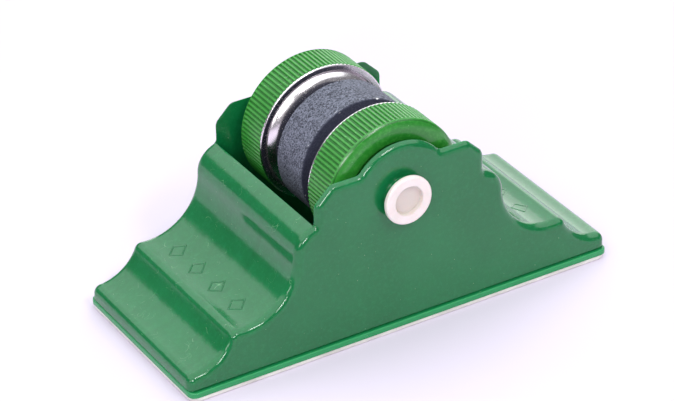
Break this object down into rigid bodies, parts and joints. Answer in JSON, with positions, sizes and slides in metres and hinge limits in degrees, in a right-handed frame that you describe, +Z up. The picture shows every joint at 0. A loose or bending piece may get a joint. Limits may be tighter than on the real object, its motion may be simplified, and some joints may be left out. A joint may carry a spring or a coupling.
{
  "type": "roller knife sharpener",
  "caption": "Desk-top roller sharpener: a grinding stone between two chromed guide cups and knurled wheels, turning on a pin between the ears of a hollow two-ramp base.",
  "frame": {"origin": "middle of the underside of the foot pad, on the surface the sharpener stands on", "axes": "+Z up, X along the length from ramp to ramp, Y along the axle; the end with the pin's own head faces -Y"},
  "size_m": [0.131, 0.0618, 0.0611],
  "materials": {
    "green_shell": "glossy moulded green polypropylene",
    "green_wheel": "satin yellower green polypropylene, knurled",
    "grinding_stone": "vitrified silicon carbide, fine blue-grey grit",
    "chrome_cup": "bright chrome on pressed steel",
    "white_pin": "off-white moulded nylon, slightly glossy",
    "hub_plastic": "green moulded plastic",
    "foam_pad": "white closed-cell foam sheet",
    "screw_steel": "zinc-plated steel"
  },
  "bodies": {
    "base": {"body_shell": "green_shell", "base_plate": "green_shell", "base_screws": "screw_steel", "foot_pad": "foam_pad", "axle_pin": "white_pin", "axle_cap": "white_pin", "spacer_near": "white_pin", "spacer_far": "white_pin"},
    "roller": {"hub_tube": "hub_plastic", "stone_drum": "grinding_stone", "guide_cup_near": "chrome_cup", "guide_cup_far": "chrome_cup", "wheel_near": "green_wheel", "wheel_far": "green_wheel"}
  },
  "joints": [
    {"name": "roller_spin", "type": "hinge", "parent": "base", "child": "roller", "pos_m": [0, 0, 0.0411], "axis": [0, 1, 0], "continuous": true}
  ]
}
